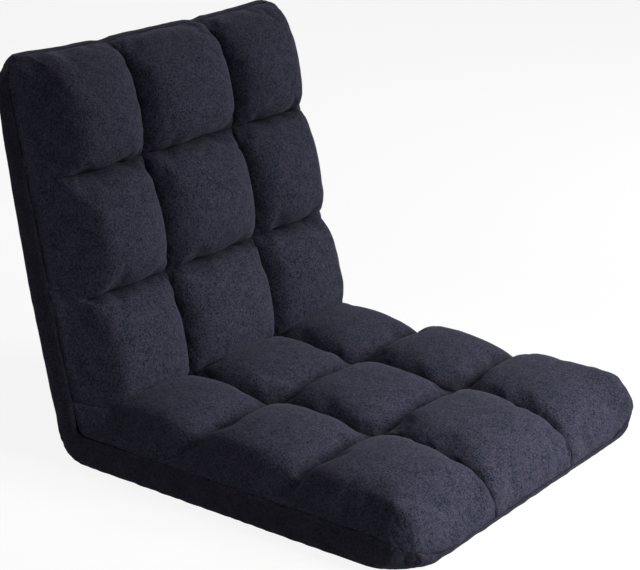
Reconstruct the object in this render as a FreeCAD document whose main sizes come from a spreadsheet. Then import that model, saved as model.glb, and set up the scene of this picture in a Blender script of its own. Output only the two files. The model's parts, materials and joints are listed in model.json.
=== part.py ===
# Floor chair: a quilted seat and a quilted back on two tube frames, joined by ratchet hinges.
#
# Frame: origin at the centre of the flat underside, +Z up, +X to the sitter's left.
# The sitter faces -Y, and the recline axis runs along X above the rear end of the underside.
# Seat and back are each drawn lying flat in a panel frame of their own: x across, y away
# from the recline axis, z towards the sitter, with the recline axis at y = 0 and z = 0.
import FreeCAD, Part
import math
import os

import Sketcher
from FreeCAD import Placement, Rotation, Vector

# Driving dimensions in millimetres and degrees
SIZES = [
    ("chair_width", 530, "overall width across seat and back"),
    ("seat_length", 496, "recline axis to the front edge"),
    ("back_length", 477, "recline axis to the top edge"),
    ("axis_height", 32, "recline axis above the outer face of either panel"),
    ("rest_angle", 100, "angle between seat and back as modelled"),
    ("cloth", 1.5, "thickness of the outer cloth with its backing"),
    ("soft_gap", 0.3, "gap between soft pieces that lie on each other"),
    ("elbow_start", 30, "where the cloth of the fold meets each cover"),
    ("elbow_radius", 45, "outside radius of the fold at rest"),
    ("core_start", 58, "where the pads and foam begin, clear of the fold"),
    ("edge_radius", 8, "roll of the outer bottom edges"),
    ("seat_corner", 38, "plan radius of the front corners"),
    ("back_corner", 26, "plan radius of the top corners"),
    ("seat_seam", 40, "side seam above the underside"),
    ("seam_drop_start", 440, "where the seat seam starts to drop to the front"),
    ("front_seam", 20, "seam above the underside at the front"),
    ("back_seam_low", 35, "side seam above the rear face at the fold"),
    ("back_seam_top", 17, "side seam above the rear face at the top"),
    ("column_groove", 88.3, "sewn column groove from the middle"),
    ("seat_groove_rear", 179, "rear sewn groove of the seat"),
    ("seat_groove_front", 334, "front sewn groove of the seat"),
    ("back_groove_low", 174, "lower sewn groove of the back"),
    ("back_groove_high", 326, "upper sewn groove of the back"),
    ("seat_groove_level", 62, "sewn grooves of the seat above the underside"),
    ("back_level_low", 63, "sewn grooves of the back above its rear face, at the fold"),
    ("back_level_top", 40, "sewn grooves of the back above its rear face, at the top"),
    ("seat_tuft_height", 28, "crown of the seat tufts above their grooves"),
    ("back_tuft_height", 38, "crown of the back tufts above their grooves"),
    ("tuft_shoulder", 30, "width of the shoulder from a groove up to a crown"),
    ("seat_side_slope", 31, "width of the slope from the seat's crowns down to the side seam"),
    ("back_side_slope", 47, "width of the slope from the back's crowns down to the side seam"),
    ("end_shoulder", 56, "width of the roll from a crown down to the front or top"),
    ("seat_front_roll_end", 34, "foot of the front roll above the underside"),
    ("back_top_roll_end", 21, "foot of the top roll above the rear face"),
    ("pucker", 14, "plan radius where a groove draws in the side"),
    ("core_inset", 22, "foam core inside the outer edge at the sides"),
    ("core_end_inset", 25, "foam core short of the front and top edges"),
    ("foam_bevel", 6, "bevel of the foam under the sloping sides of the quilting"),
    ("tube_side", 19, "square tube of each frame, outside"),
    ("tube_wall", 1.2, "tube wall"),
    ("tube_bend", 48, "bend radius of the frame tubes on their centre line"),
    ("cross_side", 16, "square cross tubes, outside"),
    ("frame_inset", 36, "frame end tube short of the front and top edges"),
    ("tube_start", 46, "frame tube ends from the recline axis"),
    ("seat_cross_rear", 150, "rear cross tube of the seat"),
    ("seat_cross_front", 300, "front cross tube of the seat"),
    ("back_cross_low", 150, "lower cross tube of the back"),
    ("back_cross_high", 300, "upper cross tube of the back"),
    ("frame_lean", 1.5, "the back frame leans towards the rear face by this angle"),
    ("felt_thickness", 2, "felt sheet over the tubes"),
    ("hinge_inset", 34, "centre plane of each hinge and side tube, inside the edge"),
    ("hinge_room", 14, "foam of the fold ends this far from the centre plane of a hinge"),
    ("gear_plate", 2, "thickness of each toothed plate"),
    ("cheek_plate", 1.8, "thickness of each cheek plate"),
    ("plate_gap", 0.3, "gap between cheek plates and toothed plates"),
    ("sleeve_wall", 1.8, "wall of the half sleeves pressed round the tubes"),
    ("sleeve_start", 42, "closed ends of the half sleeves, from the recline axis"),
    ("sleeve_end", 84, "half sleeves end"),
    ("cheek_radius", 23, "round end of the cheek plates"),
    ("root_radius", 17.6, "bottom of the ratchet teeth"),
    ("tip_radius", 19.2, "tips of the ratchet teeth"),
    ("tooth_count", 14, "teeth, one for each back position"),
    ("tooth_step", 6.66666667, "angle from one back position to the next"),
    ("teeth_past_rest", 1, "positions more upright than the one modelled"),
    ("pawl_bearing", -60, "angle of the pawl's nose round the recline axis"),
    ("pawl_pin_y", 27.2, "pawl pin ahead of the recline axis"),
    ("pawl_pin_z", -12.9, "pawl pin below the recline axis"),
    ("pawl_hub", 5.2, "hub radius of the pawl"),
    ("pawl_thickness", 4, "pawl between the cheek plates"),
    ("pawl_lift", 6, "pawl as modelled, lifted just clear of the teeth"),
    ("pawl_gap", 0.35, "room round the pawl's nose in a tooth space"),
    ("pawl_slack", 1.6, "angle between the pawl's face and the tooth that it holds"),
    ("pawl_shoulder", 3.2, "the pawl's face reaches this far past the tips of the teeth"),
    ("pawl_ear", 7.5, "radius of the cheek plates round the pawl pin"),
    ("pivot_radius", 4, "shank of the pivot rivets"),
    ("pin_radius", 2.5, "shank of the small rivets"),
    ("pin_fit", 0.05, "radial running clearance on rivets"),
    ("rivet_head", 1.6, "height of the rivet heads"),
    ("spacer_y", 34, "spacer rivet ahead of the recline axis"),
    ("sleeve_fit", 0.1, "gap between a sleeve and its tube"),
    ("half_split", 0.05, "distance of each half sleeve from the tube's centre plane"),
    ("spring_leaf", 0.5, "thickness of the pawl springs"),
    ("spring_width", 3, "width of the pawl springs"),
    ("spring_high", 10, "angle round the pawl pin where the spring leaves the hub upwards"),
    ("spring_low", -80, "angle round the pawl pin where the spring leaves the hub downwards"),
    ("spring_tail", 9, "length of the spring beside the spacer rivet"),
    ("spring_arm", 12, "length of the spring under the pawl"),
    ("seam_run_out", 1, "seam lines are drawn this far past the front and top edges"),
    ("crease_drop", 1, "cloth and foam of the fold end this far below the seam and the grooves"),
    ("wrap_step", 0.05, "outside of the fold stands in from the covers"),
    ("overcut", 20, "cutting shapes reach this far past what they cut"),
]


# Numbers that remember their sheet cell, so a sketch can be drawn and bound in one step
class Size:
    def __init__(self, value, text):
        self.value = float(value)
        self.text = text

    def __float__(self):
        return self.value

    def __add__(self, other):
        return Size(self.value + as_size(other).value, f"({self.text} + {as_size(other).text})")

    def __sub__(self, other):
        return Size(self.value - as_size(other).value, f"({self.text} - {as_size(other).text})")

    def __mul__(self, other):
        return Size(self.value * as_size(other).value, f"({self.text} * {as_size(other).text})")

    def __truediv__(self, other):
        return Size(self.value / as_size(other).value, f"({self.text} / {as_size(other).text})")

    def __rsub__(self, other):
        return as_size(other) - self

    def __radd__(self, other):
        return as_size(other) + self

    def __rmul__(self, other):
        return as_size(other) * self

    def __neg__(self):
        return Size(-self.value, f"(0 - {self.text})")


def as_size(number):
    if isinstance(number, Size):
        return number
    return Size(number, f"({number})")


def cos(angle):
    angle = as_size(angle)
    return Size(math.cos(math.radians(angle.value)), f"cos({angle.text})")


def sin(angle):
    angle = as_size(angle)
    return Size(math.sin(math.radians(angle.value)), f"sin({angle.text})")


def atan(ratio):
    return Size(math.degrees(math.atan(ratio.value)), f"(atan({ratio.text}) / (1 deg))")


def tan(angle):
    angle = as_size(angle)
    return Size(math.tan(math.radians(angle.value)), f"tan({angle.text})")


def polar(radius, angle, centre=None):
    """A point at a radius and an angle round a centre, or round the recline axis."""
    if centre is None:
        return (radius * cos(angle), radius * sin(angle))
    return (centre[0] + radius * cos(angle), centre[1] + radius * sin(angle))


class Sheet:
    """The spreadsheet, with one named Size for each row."""

    def __init__(self, document, rows):
        self.cells = document.addObject("Spreadsheet::Sheet", "Sizes")
        for number, (alias, value, note) in enumerate(rows, start=1):
            self.cells.set(f"A{number}", alias)
            self.cells.set(f"B{number}", str(value))
            self.cells.set(f"C{number}", note)
            self.cells.setAlias(f"B{number}", alias)
            setattr(self, alias, Size(value, f"Sizes.{alias}"))


doc = FreeCAD.newDocument("floor_chair")
s = Sheet(doc, SIZES)
doc.recompute()

# Sizes worked out from the driving ones
half_width = s.chair_width / 2
hinge_x = half_width - s.hinge_inset
outer_face = -s.axis_height
seat_seam = s.seat_seam - s.axis_height
front_seam = s.front_seam - s.axis_height
back_seam_low = s.back_seam_low - s.axis_height
back_seam_top = s.back_seam_top - s.axis_height
seat_level = s.seat_groove_level - s.axis_height
back_level_low = s.back_level_low - s.axis_height
back_level_top = s.back_level_top - s.axis_height
tube_half = s.tube_side / 2
sleeve_inner = tube_half + s.sleeve_fit
sleeve_outer = sleeve_inner + s.sleeve_wall
cheek_inside = s.gear_plate + s.plate_gap
cheek_outside = cheek_inside + s.cheek_plate
core_half = half_width - s.core_inset
pad_half = half_width - s.cloth - s.soft_gap
felt_low = tube_half + s.soft_gap
felt_top = felt_low + s.felt_thickness
foam_low = felt_top + s.soft_gap
inner_bevel = s.edge_radius * 0.6
half_rest = s.rest_angle / 2
gear_turn = s.rest_angle + s.frame_lean
axis_point = (as_size(0), as_size(0))

TALL = 400


def place(thing, lean=None, back=False):
    """Puts a piece drawn in a panel frame where that panel stands in the chair."""
    if back:
        turn = 180 - s.rest_angle
        if lean is not None:
            turn = turn - lean
        thing.Placement = Placement(Vector(), Rotation(Vector(1, 0, 0), turn.value))
        thing.setExpression("Placement.Rotation.Angle", turn.text)
    else:
        thing.Placement = Placement(Vector(), Rotation(Vector(0, 0, 1), 180))
    thing.setExpression("Placement.Base.y", (s.seat_length / 2).text)
    thing.setExpression("Placement.Base.z", s.axis_height.text)


def new_body(label):
    body = doc.addObject("PartDesign::Body", label)
    body.Label = label
    return body


def origin_part(body, role):
    return next(item for item in body.Origin.OriginFeatures if item.Role == role)


def new_sketch(body, plane, name, offset=None, lean=None):
    sketch = body.newObject("Sketcher::SketchObject", name)
    sketch.AttachmentSupport = [(origin_part(body, plane), "")]
    sketch.MapMode = "FlatFace"
    if lean is not None:
        sketch.AttachmentOffset = Placement(Vector(), Rotation(Vector(1, 0, 0), -lean.value))
        sketch.setExpression("AttachmentOffset.Rotation.Angle", (-lean).text)
    if offset is not None:
        sketch.setExpression("AttachmentOffset.Base.z", as_size(offset).text)
    return sketch


def point(pair):
    return Vector(float(pair[0]), float(pair[1]), 0)


def bind(sketch, constraint, size):
    index = sketch.addConstraint(constraint)
    if isinstance(size, Size):
        sketch.setExpression(f"Constraints[{index}]", size.text)


def hold(sketch, geometry, end, pair):
    """Fixes one end of a line by its two coordinates."""
    for kind, size in zip(("DistanceX", "DistanceY"), pair):
        bind(sketch, Sketcher.Constraint(kind, -1, 1, geometry, end, float(size)), size)


def circle_through(first, second, third):
    """The centre of the circle through three points."""
    a = second - first
    b = third - first
    scale = 2 * (a.x * b.y - a.y * b.x)
    x = (b.y * a.dot(a) - a.y * b.dot(b)) / scale
    y = (a.x * b.dot(b) - b.x * a.dot(a)) / scale
    return first + Vector(x, y, 0)


def outline(sketch, corners, arcs=None):
    """A closed outline with held corners; arcs maps an edge to a point that its arc passes."""
    arcs = arcs or {}
    first = sketch.GeometryCount
    count = len(corners)
    flipped = set()
    for i in range(count):
        here = point(corners[i])
        there = point(corners[(i + 1) % count])
        if i not in arcs:
            sketch.addGeometry(Part.LineSegment(here, there))
            continue
        middle = point(arcs[i])
        centre = circle_through(here, middle, there)
        if (middle - here).cross(there - here).z < 0:
            here, there = there, here
            flipped.add(i)
        start = math.atan2(here.y - centre.y, here.x - centre.x)
        stop = math.atan2(there.y - centre.y, there.x - centre.x)
        if stop <= start:
            stop += 2 * math.pi
        ring = Part.Circle(centre, Vector(0, 0, 1), (here - centre).Length)
        sketch.addGeometry(Part.ArcOfCircle(ring, start, stop))
    for i in range(count):
        after = (i + 1) % count
        end = 1 if i in flipped else 2
        begin = 2 if after in flipped else 1
        sketch.addConstraint(Sketcher.Constraint("Coincident", first + i, end, first + after, begin))
        hold(sketch, first + i, 2 if i in flipped else 1, corners[i])
    for i, middle in arcs.items():
        marker = sketch.addGeometry(Part.Point(point(middle)), True)
        hold(sketch, marker, 1, middle)
        sketch.addConstraint(Sketcher.Constraint("PointOnObject", marker, 1, first + i))


def square(sketch, centre, half):
    """An upright square about a point."""
    x, y = centre
    outline(sketch, [(x - half, y - half), (x + half, y - half), (x + half, y + half), (x - half, y + half)])


def circle(sketch, centre, radius):
    ring = Part.Circle(point(centre), Vector(0, 0, 1), float(radius))
    index = sketch.addGeometry(ring)
    hold(sketch, index, 3, centre)
    bind(sketch, Sketcher.Constraint("Radius", index, float(radius)), radius)


def pad(body, sketch, length, name, both=False, back=False):
    feature = body.newObject("PartDesign::Pad", name)
    feature.Profile = sketch
    feature.setExpression("Length", as_size(length).text)
    if both:
        feature.SideType = "Symmetric"
    feature.Reversed = back
    return feature


def pocket(body, sketch, name, length=None, both=False, back=False):
    """Cuts a sketch right through both ways, or to a length on one side or shared by both."""
    feature = body.newObject("PartDesign::Pocket", name)
    feature.Profile = sketch
    if length is None:
        feature.SideType = "Symmetric"
        feature.Length = 4 * TALL
        return feature
    feature.setExpression("Length", as_size(length).text)
    if both:
        feature.SideType = "Symmetric"
    feature.Reversed = back
    return feature


def edges_where(feature, test):
    shape = feature.Shape
    return [f"Edge{i + 1}" for i, edge in enumerate(shape.Edges) if test(edge)]


def fillet(body, base, edges, radius, name):
    doc.recompute()
    feature = body.newObject("PartDesign::Fillet", name)
    feature.Base = (base, edges_where(base, edges))
    feature.setExpression("Radius", as_size(radius).text)
    doc.recompute()
    return feature


def chamfer(body, base, edges, size, name):
    doc.recompute()
    feature = body.newObject("PartDesign::Chamfer", name)
    feature.Base = (base, edges_where(base, edges))
    feature.setExpression("Size", as_size(size).text)
    doc.recompute()
    return feature


def cut_away(label, outside, inside):
    """One closed shape less another, as a node of its own."""
    left = doc.addObject("Part::Cut", label)
    left.Label = label
    left.Base = outside
    left.Tool = inside
    return left


def is_upright(edge):
    """True for a straight edge along the panel's z direction."""
    ends = [vertex.Point for vertex in edge.Vertexes]
    if len(ends) != 2:
        return False
    return abs(ends[0].x - ends[1].x) < 0.01 and abs(ends[0].y - ends[1].y) < 0.01


# Outer covers, pads, felt and foam of one panel
def panel_blank(label, length, top, corner, half, start, low, roll, bevel=False):
    """A flat-bottomed slab with round far corners and rolled or bevelled bottom edges."""
    body = new_body(label)
    plan = new_sketch(body, "XY_Plane", label + "_plan", low)
    outline(plan, [(-half, start), (half, start), (half, length), (-half, length)])
    slab = pad(body, plan, top - low, label + "_slab")
    far = float(length)
    rounded = fillet(
        body,
        slab,
        lambda edge: is_upright(edge) and abs(edge.Vertexes[0].Point.y - far) < 0.01,
        corner,
        label + "_corners",
    )
    bottom = float(low)
    near = float(start)

    def rolls(edge):
        box = edge.BoundBox
        lies_low = abs(box.ZMin - bottom) < 0.01 and abs(box.ZMax - bottom) < 0.01
        return lies_low and box.YMax > near + 0.01

    if bevel:
        return body, chamfer(body, rounded, rolls, roll, label + "_bevels")
    return body, fillet(body, rounded, rolls, roll, label + "_rolled_edges")


def trim_to_seam(body, label, seam, length):
    """Cuts a slab down to the seam line, given as points along the panel."""
    side = new_sketch(body, "YZ_Plane", label + "_seam_line")
    above = seam + [(length + s.overcut, as_size(TALL)), (seam[0][0], as_size(TALL))]
    outline(side, above)
    return pocket(body, side, label + "_trim")


def cover(label, length, corner, seam, back=False):
    """The outer cloth shell below the seam: a shallow tray, open at the fold."""
    top = back_seam_low if back else seat_seam
    outside, blank = panel_blank(
        label + "_outside", length, top, corner, half_width, s.elbow_start, outer_face, s.edge_radius
    )
    trim_to_seam(outside, label + "_outside", seam, length)
    inside, blank = panel_blank(
        label + "_inside", length - s.cloth, top + s.overcut, corner - s.cloth, half_width - s.cloth,
        s.elbow_start - s.overcut, outer_face + s.cloth, inner_bevel, bevel=True,
    )
    tray = cut_away(label, outside, inside)
    place(tray, back=back)
    return tray


def channel(body, label, length, lean):
    """Routes a pad for its frame: side legs, end tube, cross tubes and sleeves."""
    side = hinge_x
    reach = tube_half + s.soft_gap
    near = s.core_start - s.overcut
    end = length - s.frame_inset
    plan = new_sketch(body, "XY_Plane", label + "_leg_plan", -reach, lean)
    for sign in (-1, 1):
        centre = sign * side
        inner = centre - reach
        outer = centre + reach
        outline(plan, [(inner, near), (outer, near), (outer, end), (inner, end)])
    pocket(body, plan, label + "_legs", as_size(TALL), back=True)
    across = new_sketch(body, "XY_Plane", label + "_end_plan", -reach, lean)
    wide = side + reach
    outline(
        across,
        [(-wide, end - s.tube_bend), (wide, end - s.tube_bend),
         (wide, end + reach), (-wide, end + reach)],
    )
    pocket(body, across, label + "_end", as_size(TALL), back=True)


def pad_body(label, length, corner, seam, crosses, lean=None, back=False):
    """The firm base pad in a cover, routed so that the frame tubes lie in it."""
    top = (back_seam_low if back else seat_seam) - s.soft_gap
    skin = s.cloth + s.soft_gap
    body, blank = panel_blank(
        label, length - skin, top, corner - skin, pad_half, s.core_start,
        outer_face + skin, inner_bevel, bevel=True,
    )
    inset_seam = [(y - skin, z - s.soft_gap) for y, z in seam]
    trim_to_seam(body, label, inset_seam, length)
    channel(body, label, length, lean)
    cross = new_sketch(body, "XY_Plane", label + "_cross_plan", -(s.cross_side / 2 + s.soft_gap), lean)
    reach = s.cross_side / 2 + s.soft_gap
    for y in crosses:
        outline(
            cross,
            [(-hinge_x, y - reach), (hinge_x, y - reach), (hinge_x, y + reach),
             (-hinge_x, y + reach)],
        )
    pocket(body, cross, label + "_crosses", as_size(TALL), back=True)
    sleeves = new_sketch(body, "XY_Plane", label + "_sleeve_plan", -(sleeve_outer + s.soft_gap), lean)
    wide = sleeve_outer + s.soft_gap
    near = s.core_start - s.overcut
    far = s.sleeve_end + s.soft_gap
    for sign in (-1, 1):
        centre = sign * hinge_x
        outline(sleeves, [(centre - wide, near), (centre + wide, near), (centre + wide, far),
                          (centre - wide, far)])
    pocket(body, sleeves, label + "_sleeve_room", as_size(TALL), back=True)
    place(body, back=back)
    return body


def felt(label, length, lean=None, back=False):
    """A felt sheet that keeps the foam off the tubes."""
    body = new_body(label)
    plan = new_sketch(body, "XY_Plane", label + "_plan", felt_low)
    near = s.sleeve_end + 2 * s.soft_gap
    far = length - s.core_end_inset
    corner = s.tube_bend / 2
    outline(
        plan,
        [(-core_half, near), (core_half, near), (core_half, far - corner), (core_half - corner, far),
         (corner - core_half, far), (-core_half, far - corner)],
    )
    pad(body, plan, s.felt_thickness, label + "_sheet")
    place(body, lean=lean, back=back)
    return body


def foam(label, length, low_near, low_far, top_near, top_far, back=False):
    """The foam slab between the felt and the sewn grooves, drawn from the side."""
    body = new_body(label)
    far = length - s.core_end_inset
    side = new_sketch(body, "YZ_Plane", label + "_side")
    outline(side, [(s.core_start, low_near), (far, low_far), (far, top_far), (s.core_start, top_near)])
    slab = pad(body, side, 2 * core_half, label + "_slab", both=True)
    middle = (float(low_near) + float(top_near)) / 2

    def upper_sides(edge):
        box = edge.BoundBox
        return box.XLength < 0.01 and box.YLength > 10 and box.ZMax > middle

    chamfer(body, slab, upper_sides, s.foam_bevel, label + "_bevels")
    place(body, back=back)
    return body


# Frames of bent tube
def frame_tube(label, length, lean=None, back=False):
    """One square tube bent twice into a U."""
    body = new_body(label)
    path = new_sketch(body, "XY_Plane", label + "_path")
    side = hinge_x
    end = length - s.frame_inset
    bend = s.tube_bend
    start = s.tube_start
    joints = [(-side, start), (-side, end - bend), (bend - side, end), (side - bend, end),
              (side, end - bend), (side, start)]
    path.addGeometry(Part.LineSegment(point(joints[0]), point(joints[1])))
    left_centre = Vector(float(bend - side), float(end - bend), 0)
    right_centre = Vector(float(side - bend), float(end - bend), 0)
    up = Vector(0, 0, 1)
    left = Part.Circle(left_centre, up, float(bend))
    right = Part.Circle(right_centre, up, float(bend))
    path.addGeometry(Part.ArcOfCircle(left, math.pi / 2, math.pi))
    path.addGeometry(Part.LineSegment(point(joints[2]), point(joints[3])))
    path.addGeometry(Part.ArcOfCircle(right, 0, math.pi / 2))
    path.addGeometry(Part.LineSegment(point(joints[4]), point(joints[5])))
    for first, first_end, second, second_end in [(0, 2, 1, 2), (1, 1, 2, 1), (2, 2, 3, 2), (3, 1, 4, 1)]:
        path.addConstraint(Sketcher.Constraint("Coincident", first, first_end, second, second_end))
    hold(path, 0, 1, joints[0])
    hold(path, 0, 2, joints[1])
    hold(path, 2, 1, joints[2])
    hold(path, 2, 2, joints[3])
    hold(path, 4, 1, joints[4])
    hold(path, 4, 2, joints[5])
    for arc in (1, 3):
        bind(path, Sketcher.Constraint("Radius", arc, float(bend)), bend)
    ring = new_sketch(body, "XZ_Plane", label + "_ring", -start)
    square(ring, (-side, as_size(0)), tube_half)
    pipe = body.newObject("PartDesign::AdditivePipe", label + "_bent")
    pipe.Profile = ring
    pipe.Spine = (path, [])
    inside = new_sketch(body, "XZ_Plane", label + "_bore_section", -start)
    square(inside, (-side, as_size(0)), tube_half - s.tube_wall)
    bore = body.newObject("PartDesign::SubtractivePipe", label + "_bore")
    bore.Profile = inside
    bore.Spine = (path, [])
    place(body, lean=lean, back=back)
    return body


def cross_tube(label, at, lean=None, back=False):
    """A straight tube, closed by the side tubes that it is welded between."""
    body = new_body(label)
    end = new_sketch(body, "YZ_Plane", label + "_end")
    square(end, (at, as_size(0)), s.cross_side / 2)
    square(end, (at, as_size(0)), s.cross_side / 2 - s.tube_wall)
    pad(body, end, 2 * (hinge_x - tube_half - s.pin_fit), label + "_tube", both=True)
    place(body, lean=lean, back=back)
    return body


# Ratchet hinges
def hinge_plate(label, side, outward, inside, thickness, discs, flank, lean=None, back=False):
    """A pressed plate: round end, flat flank, and half of a closed sleeve for the tube's end."""
    body = new_body(label)
    low = side + outward * inside
    reverse = outward < 0
    for number, (centre, radius) in enumerate(discs):
        disc = new_sketch(body, "YZ_Plane", f"{label}_disc_{number}", low)
        circle(disc, centre, radius)
        pad(body, disc, thickness, f"{label}_round_{number}", back=reverse)
    web = new_sketch(body, "YZ_Plane", label + "_flank", low)
    outline(web, flank)
    pad(body, web, thickness, label + "_web", back=reverse)
    split = side + outward * s.half_split
    far = side + outward * sleeve_outer
    near = side + outward * sleeve_inner
    end = new_sketch(body, "XZ_Plane", label + "_end_section", -s.sleeve_start)
    outline(end, [(split, -sleeve_outer), (far, -sleeve_outer), (far, sleeve_outer), (split, sleeve_outer)])
    pad(body, end, s.sleeve_wall, label + "_closed_end", back=True)
    half = new_sketch(body, "XZ_Plane", label + "_sleeve_section", -s.sleeve_start)
    outline(half, [(split, -sleeve_outer), (far, -sleeve_outer), (far, sleeve_outer), (split, sleeve_outer),
                   (split, sleeve_inner), (near, sleeve_inner), (near, -sleeve_inner),
                   (split, -sleeve_inner)])
    pad(body, half, s.sleeve_end - s.sleeve_start, label + "_half_sleeve", back=True)
    hole = new_sketch(body, "YZ_Plane", label + "_pivot_hole")
    circle(hole, axis_point, s.pivot_radius + s.pin_fit)
    pocket(body, hole, label + "_pivot")
    place(body, lean=lean, back=back)
    return body


def cheek(label, outward):
    """A cheek plate on the seat side; the pawl pin and the spacer are welded to its inner face."""
    pin = (s.pawl_pin_y, s.pawl_pin_z)
    edge = s.cheek_radius
    end = s.sleeve_start + s.sleeve_wall / 2
    flank = [polar(edge, 62), (end, sleeve_outer), (end, -sleeve_outer),
             polar(s.pawl_ear, -50, pin), polar(s.pawl_ear, -90, pin), polar(edge, -76)]
    discs = [(axis_point, edge), (pin, s.pawl_ear)]
    return hinge_plate(label, hinge_x, outward, cheek_inside, s.cheek_plate, discs, flank)


def toothed_plate(label, outward):
    """A toothed plate on the back side: saw teeth on the part of its rim that the pawl uses."""
    half = sleeve_outer
    end = s.sleeve_start + s.sleeve_wall / 2
    flank = [(as_size(0), half), (end, half), (end, -half), (as_size(0), -half)]
    body = hinge_plate(
        label, -hinge_x, outward, s.half_split, s.gear_plate,
        [(axis_point, s.root_radius)], flank, lean=s.frame_lean, back=True,
    )
    first = gear_turn - s.pawl_bearing - s.teeth_past_rest * s.tooth_step
    foot = s.root_radius * 0.95
    tooth = new_sketch(body, "YZ_Plane", label + "_tooth", -hinge_x + outward * s.half_split)
    outline(tooth, [polar(foot, first), polar(s.tip_radius, first),
                    polar(s.root_radius, first + s.tooth_step), polar(foot, first + s.tooth_step)])
    one = pad(body, tooth, s.gear_plate, label + "_first_tooth", back=outward < 0)
    doc.recompute()
    ring = body.newObject("PartDesign::PolarPattern", label + "_teeth")
    ring.Originals = [one]
    ring.Axis = (origin_part(body, "X_Axis"), [""])
    ring.setExpression("Angle", (s.tooth_step * (s.tooth_count - 1)).text)
    ring.setExpression("Occurrences", s.tooth_count.text)
    body.Tip = ring
    return body


def turned(pair, centre, angle):
    """A point turned about a centre, anticlockwise as seen from the sitter's right."""
    y = pair[0] - centre[0]
    z = pair[1] - centre[1]
    return (centre[0] + y * cos(angle) - z * sin(angle), centre[1] + y * sin(angle) + z * cos(angle))


def pawl(label):
    """The pawl: a wedge nose that fits a tooth space, drawn lifted just clear of the teeth."""
    body = new_body(label)
    pin = (s.pawl_pin_y, s.pawl_pin_z)
    face = s.pawl_bearing + s.pawl_slack
    nose = polar(s.root_radius + s.pawl_gap, face)
    shoulder = polar(s.tip_radius + s.pawl_shoulder, face)
    heel = polar(s.tip_radius + s.pawl_gap, s.pawl_bearing + s.tooth_step)
    below_hub = polar(s.pawl_hub, -78, pin)
    above_hub = polar(s.pawl_hub, 110, pin)
    corners = [turned(p, pin, s.pawl_lift) for p in (nose, shoulder, below_hub, above_hub, heel)]
    side = new_sketch(body, "YZ_Plane", label + "_side", hinge_x)
    outline(side, corners)
    pad(body, side, s.pawl_thickness, label + "_arm", both=True)
    hub = new_sketch(body, "YZ_Plane", label + "_hub", hinge_x)
    circle(hub, pin, s.pawl_hub)
    pad(body, hub, s.pawl_thickness, label + "_boss", both=True)
    hole = new_sketch(body, "YZ_Plane", label + "_hole")
    circle(hole, pin, s.pin_radius + s.pin_fit)
    pocket(body, hole, label + "_bore")
    place(body)
    return body


def pawl_spring(label):
    """A leaf spring that bears beside the spacer rivet, wraps the pawl's hub and presses its arm."""
    body = new_body(label)
    pin = (s.pawl_pin_y, s.pawl_pin_z)
    inner = s.pawl_hub + s.soft_gap
    outer = inner + s.spring_leaf
    high = s.spring_high
    low = s.spring_low

    def at(radius, angle, along):
        """A point of the leaf: on its arc, and then along the tangent there."""
        y, z = polar(radius, angle, pin)
        return (y - along * sin(angle), z + along * cos(angle))

    corners = [at(outer, low, -s.spring_arm), at(outer, low, 0), at(outer, high, 0),
               at(outer, high, s.spring_tail), at(inner, high, s.spring_tail), at(inner, high, 0),
               at(inner, low, 0), at(inner, low, -s.spring_arm)]
    halfway = (low + high) / 2
    side = new_sketch(body, "YZ_Plane", label + "_side", hinge_x)
    outline(side, corners, {1: at(outer, halfway, 0), 5: at(inner, halfway, 0)})
    pad(body, side, s.spring_width, label + "_leaf", both=True)
    place(body)
    return body


def pins(label, spot, stack):
    """A turned pin across each hinge, given as steps of radius, start and end."""
    solids = []
    for side, sign in (("right", 1), ("left", -1)):
        steps = []
        for number, (radius, start, end) in enumerate(stack):
            rod = doc.addObject("Part::Cylinder", f"{label}_{side}_{number}")
            rod.setExpression("Radius", radius.text)
            rod.setExpression("Height", (end - start).text)
            rod.Placement = Placement(Vector(), Rotation(Vector(0, 1, 0), sign * 90))
            rod.setExpression("Placement.Base.x", (sign * (hinge_x + start)).text)
            rod.setExpression("Placement.Base.y", spot[0].text)
            rod.setExpression("Placement.Base.z", spot[1].text)
            steps.append(rod)
        if len(steps) > 1:
            fused = doc.addObject("Part::MultiFuse", f"{label}_{side}")
            fused.Shapes = steps
            steps = [fused]
        solids += steps
    group = doc.addObject("Part::Compound", label)
    group.Label = label
    group.Links = solids
    place(group)
    return group


def mirrored(source, label):
    """The same piece on the other side of the chair."""
    copy = doc.addObject("Part::Mirroring", label)
    copy.Label = label
    copy.Source = source
    copy.Base = Vector(0, 0, 0)
    copy.Normal = Vector(1, 0, 0)
    return copy


# The fold between seat and back, drawn in the seat's panel frame
fold_crease = seat_seam - s.crease_drop


def on_back(y, z):
    """A point of the back's panel frame, seen in the seat's panel frame at rest."""
    y = as_size(y)
    z = as_size(z)
    return (y * cos(s.rest_angle) + z * sin(s.rest_angle), y * sin(s.rest_angle) - z * cos(s.rest_angle))


def fold_outline(start, outside, seat_top, back_top, crease):
    corner = outside / tan(half_rest)
    inner = crease / tan(half_rest)
    return [(start, outside), (corner, outside), on_back(start, outside), on_back(start, back_top),
            (inner, crease), (start, seat_top)]


def fold_corner(edge):
    """True for the edge along X at the outside of the fold."""
    box = edge.BoundBox
    return box.XLength > 10 and box.YMax < -10 and box.ZMax < -10


def fold_block(label, start, outside, seat_top, back_top, crease, width, radius):
    """A block bent round the outside of the fold."""
    body = new_body(label)
    side = new_sketch(body, "YZ_Plane", label + "_side")
    outline(side, fold_outline(start, outside, seat_top, back_top, crease))
    block = pad(body, side, width, label + "_block", both=True)
    return body, fillet(body, block, fold_corner, radius, label + "_bend")


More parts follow.
